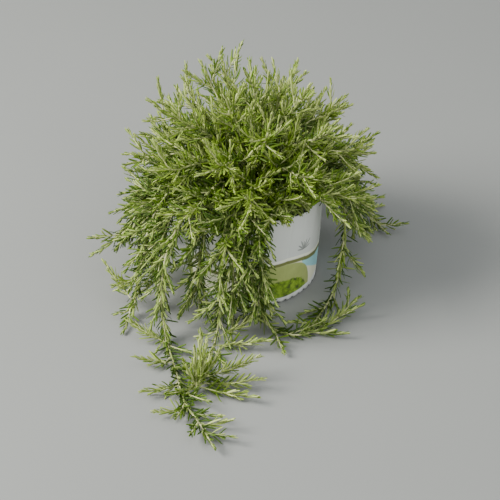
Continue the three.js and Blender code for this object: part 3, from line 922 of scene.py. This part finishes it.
def grid_object(name, points, closed_rows, material):
    """A mesh from a grid of points whose columns go round; rows close if closed_rows."""
    rows, cols = points.shape[:2]
    faces = []
    for r in range(rows if closed_rows else rows - 1):
        for c in range(cols):
            d = (c + 1) % cols
            e = (r + 1) % rows
            faces.append((r * cols + c, r * cols + d, e * cols + d, e * cols + c))
    mesh = bpy.data.meshes.new(name)
    fill(mesh, (points.reshape(-1, 3) / 1000).tolist(), faces)
    mesh.materials.append(material)
    return put(name, mesh)


def lathe(name, profile, segments, material):
    """Turns [radius, height] corners about Z; the ends close on the axis."""
    turn = np.linspace(0, 2 * math.pi, segments, endpoint=False)
    profile = np.array(profile, float)
    ring = np.stack([np.cos(turn), np.sin(turn)], 1)
    points = np.concatenate([
        profile[:, None, :1] * ring[None], np.repeat(profile[:, None, 1:], segments, 1)], 2)
    piece = grid_object(name, points, False, material)
    mesh = piece.data
    verts = [tuple(v.co) for v in mesh.vertices]
    faces = [tuple(p.vertices) for p in mesh.polygons]
    first, last = len(verts), len(verts) + 1
    rows = len(profile)
    verts += [(0, 0, profile[0][1] / 1000), (0, 0, profile[-1][1] / 1000)]
    for c in range(segments):
        d = (c + 1) % segments
        faces.append((first, d, c))
        faces.append((last, (rows - 1) * segments + c, (rows - 1) * segments + d))
    mesh.clear_geometry()
    fill(mesh, verts, faces)
    return piece


def keep_sharp(piece, degrees):
    """Shades a piece smooth, except at edges that turn by more than this."""
    bpy.context.view_layer.objects.active = piece
    piece.select_set(True)
    bpy.ops.object.shade_smooth_by_angle(angle=math.radians(degrees))
    piece.select_set(False)


def add_pot():
    shoulder = POT_HEIGHT - RIM_HEIGHT
    slope = (POT_NECK - POT_FOOT) / shoulder
    outer = [(20, 0.6), (POT_FOOT - 6, 0.6), (POT_FOOT - 5, 0.0), (POT_FOOT - 1.4, 0.0),
             (POT_FOOT - 0.3, 0.5), (POT_FOOT + 0.1, 1.6)]
    outer += [(POT_FOOT + slope * z, z) for z in (20, 40, 60, 80)]
    outer += [(POT_NECK - 0.1, shoulder - 0.4), (POT_RIM - 0.7, shoulder - 0.1),
              (POT_RIM, shoulder + 0.7), (POT_RIM, POT_HEIGHT - 0.8),
              (POT_RIM - 0.6, POT_HEIGHT)]
    inner = [(POT_RIM - 1.1, POT_HEIGHT - 0.1), (POT_RIM - 1.5, POT_HEIGHT - 0.9),
             (POT_RIM - 1.5, shoulder + 2), (POT_NECK - 1.6, shoulder + 0.4)]
    inner += [(POT_FOOT - POT_WALL + slope * z, z) for z in (80, 60, 40, 20, 3)]
    inner += [(POT_FOOT - POT_WALL - 1.2, POT_WALL), (20, POT_WALL)]
    pot = lathe("pot_shell", outer + inner, 144, pot_material())
    drills = []
    for i in range(DRAIN_HOLES):
        centre = polar(DRAIN_RING, i * 2 * math.pi / DRAIN_HOLES, 0)
        drill = lathe(f"drill_{i}", [(DRAIN_RADIUS, -4), (DRAIN_RADIUS, 6)], 24,
                      pot.data.materials[0])
        drill.location = centre / 1000
        drills.append(drill)
    for drill in drills:
        cut = pot.modifiers.new("drain", "BOOLEAN")
        cut.operation = "DIFFERENCE"
        cut.solver = "EXACT"
        cut.object = drill
        bpy.context.view_layer.objects.active = pot
        bpy.ops.object.modifier_apply(modifier=cut.name)
    for drill in drills:
        bpy.data.objects.remove(drill)
    keep_sharp(pot, 40)
    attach(pot, "root")
    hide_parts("pot")


def add_soil():
    """A crumbly domed top on the plain body that fills the pot."""
    shoulder = POT_HEIGHT - RIM_HEIGHT
    slope = (POT_NECK - POT_FOOT) / shoulder
    side = POT_FOOT - POT_WALL - 0.6
    profile = [(30, 1.9), (side - 1, 1.9)]
    profile += [(side + slope * z, z) for z in (5, 30, 55, 76, SOIL_TOP - 3)]
    edge = side + slope * SOIL_TOP
    rings = np.linspace(edge - 0.4, 1.2, 46)
    profile += [(r, SOIL_TOP - 1.2 + (SOIL_DOME + 1.0) * (1 - (r / edge) ** 2)) for r in rings]
    soil = lathe("soil_peat", profile, 150, soil_material())
    mesh = soil.data
    co = np.zeros(len(mesh.vertices) * 3)
    mesh.vertices.foreach_get("co", co)
    co = co.reshape(-1, 3) * 1000
    top = co[:, 2] > SOIL_TOP - 2.2
    radius = np.hypot(co[:, 0], co[:, 1])
    lump = np.zeros(len(co))
    for _ in range(260):
        centre = rng.uniform(-edge, edge, 2)
        size = rng.uniform(1.2, 4.5)
        gap = np.hypot(co[:, 0] - centre[0], co[:, 1] - centre[1]) / size
        lump += rng.uniform(-0.5, 0.9) * np.exp(-gap ** 2) * min(1.0, size / 3)
    lump += rng.normal(0, 0.16, len(co))
    fade = smooth(edge + 0.5, edge - 5, radius)
    co[:, 2] += np.where(top, np.clip(lump, -1.4, 1.6) * fade, 0)
    mesh.vertices.foreach_set("co", (co / 1000).ravel())
    mesh.update()
    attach(soil, "root")
    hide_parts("soil")


# Upright folds in the card, as [azimuth, lean], and the middle of the print.
SLEEVE_FOLDS = [(5.62, 0.10), (5.18, -0.14), (2.3, 0.1), (0.9, -0.1)]
SLEEVE_HALF_CARD = 0.28
PRINT_AZIMUTH = math.radians(325)


def add_sleeve():
    """A thin card skin with a scalloped foot, a wavy top and soft creases."""
    around, up = SLEEVE_TEETH * 12, 40
    turn = np.linspace(0, 2 * math.pi, around, endpoint=False)
    share = np.linspace(0, 1, up)
    tooth = SLEEVE_TOOTH * np.abs(np.sin(turn * SLEEVE_TEETH / 2)) ** 0.8
    foot = SLEEVE_BOTTOM + SLEEVE_TOOTH - tooth
    crest = SLEEVE_TOP + SLEEVE_WAVE * np.cos(SLEEVE_WAVES * turn)
    crest = crest + 0.5 * np.sin(13 * turn + 1) + 0.3 * np.sin(29 * turn)
    z = foot[None] + (crest - foot)[None] * share[:, None]
    radius = SLEEVE_FOOT + (SLEEVE_TOP_RADIUS - SLEEVE_FOOT) * (z / SLEEVE_TOP)
    crease = 0.32 * np.sin(5 * turn + 0.8) * share[:, None]
    crease = crease + 0.20 * np.sin(11 * turn[None] + 5 * share[:, None])
    crease = crease + 0.12 * np.sin(23 * turn[None] - 9 * share[:, None] + 1)
    fold = sum(0.45 * np.exp(-((turn[None] - at + lean * share[:, None]) / 0.018) ** 2)
               for at, lean in SLEEVE_FOLDS)
    radius = radius + crease + 0.45 - fold * (0.25 + share[:, None])
    seam = np.where((turn > 1.50) & (turn < 1.66), 0.35, 0.0)
    shells = []
    for offset in (SLEEVE_HALF_CARD, -SLEEVE_HALF_CARD):
        r = radius + offset + (seam[None] if offset > 0 else 0)
        shells.append(np.stack([r * np.cos(turn), r * np.sin(turn), z], 2))
    points = np.concatenate([shells[0], shells[1][::-1]])
    sleeve = grid_object("sleeve_card", points, True, sleeve_material())
    mesh = sleeve.data
    row, column = (a.ravel() for a in np.meshgrid(np.arange(2 * up), np.arange(around),
                                                  indexing="ij"))
    cells = [(column, row), (column + 1, row), (column + 1, row + 1), (column, row + 1)]
    corners = np.stack([np.stack([c / around, r / (2 * up)], 1) for c, r in cells], 1)
    mesh.uv_layers.new(name="OFBake").data.foreach_set(
        "uv", corners.astype(np.float32).ravel())
    heights = np.concatenate([z, z[::-1]]).ravel()
    turns = np.tile((turn - PRINT_AZIMUTH + math.pi) % (2 * math.pi) - math.pi, 2 * up)
    for name, values in (("height", heights), ("turn", turns)):
        mesh.attributes.new(name, "FLOAT", "POINT").data.foreach_set(
            "value", values.astype(np.float32))
    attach(sleeve, "root")
    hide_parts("sleeve")


# -------------------- the object
leaf_materials = [leaf_top_material(), leaf_under_material(), stem_material()]
add_pot()
add_soil()
add_sleeve()
for index in range(SHOOTS):
    add_crown_shoot(index, leaf_materials)
for index in range(len(SKIRT)):
    add_skirt_shoot(index, leaf_materials)
for trail_name in TRAILS:
    add_trail_shoot(trail_name, leaf_materials)


# -------------------- floor, light, camera
def add_floor():
    """A plain floor that bends up into a wall behind the plant."""
    mesh = bpy.data.meshes.new("floor")
    reach, back, rise, bend = 6.0, 2.2, 4.0, 1.5
    path = [(-reach, 0.0), (back, 0.0)]
    path += [(back + bend * math.sin(a), bend * (1 - math.cos(a)))
             for a in np.linspace(0.1, math.pi / 2, 12)]
    path += [(back + bend, rise)]
    verts, faces = [], []
    for k, (y, z) in enumerate(path):
        verts += [(-reach, y, z), (reach, y, z)]
        if k:
            faces.append((2 * k - 2, 2 * k - 1, 2 * k + 1, 2 * k))
    fill(mesh, verts, faces)
    mesh.materials.append(floor_material())
    floor = put("floor", mesh)


def aim(thing, target):
    direction = np.array(target) - np.array(thing.location)
    yaw = math.atan2(direction[1], direction[0]) - math.pi / 2
    pitch = math.atan2(direction[2], math.hypot(direction[0], direction[1]))
    thing.rotation_euler = (math.pi / 2 + pitch, 0, yaw)


def add_light(name, place, target, size, power, colour):
    data = bpy.data.lights.new(name, "AREA")
    data.shape = "RECTANGLE"
    data.size, data.size_y = size
    data.energy = power
    data.color = colour
    light = put(name, data)
    light.location = place
    aim(light, target)


add_floor()
add_light("key", (-1.8, -0.35, 1.55), (0, 0, 0.08), (1.1, 1.1), 128, (1.0, 0.985, 0.96))
add_light("fill", (0.5, -1.2, 2.6), (0, 0, 0.05), (2.6, 1.6), 30, (0.96, 0.98, 1.0))
add_light("side", (2.0, -1.2, 0.9), (0, 0, 0.06), (1.6, 1.2), 12, (0.97, 0.98, 1.0))
world = bpy.data.worlds.new("studio")
world.use_nodes = True
sky = world.node_tree.nodes["Background"]
sky.inputs["Color"].default_value = (0.92, 0.95, 1.0, 1)
sky.inputs["Strength"].default_value = 0.78
bpy.context.scene.world = world

SENSOR = 36
FIELD_OF_VIEW = math.radians(15.2)
VIEW_DISTANCE = 1.76
AIM_AT = np.array([-0.002, -0.055, 0.062])
camera_data = bpy.data.cameras.new("camera")
camera_data.sensor_width = SENSOR
camera_data.lens = SENSOR / 2 / math.tan(FIELD_OF_VIEW / 2)
camera = put("camera", camera_data)
camera.location = AIM_AT + VIEW_DISTANCE * np.array(
    [0, -math.cos(VIEW_ELEVATION), math.sin(VIEW_ELEVATION)])
aim(camera, AIM_AT)
bpy.context.scene.camera = camera
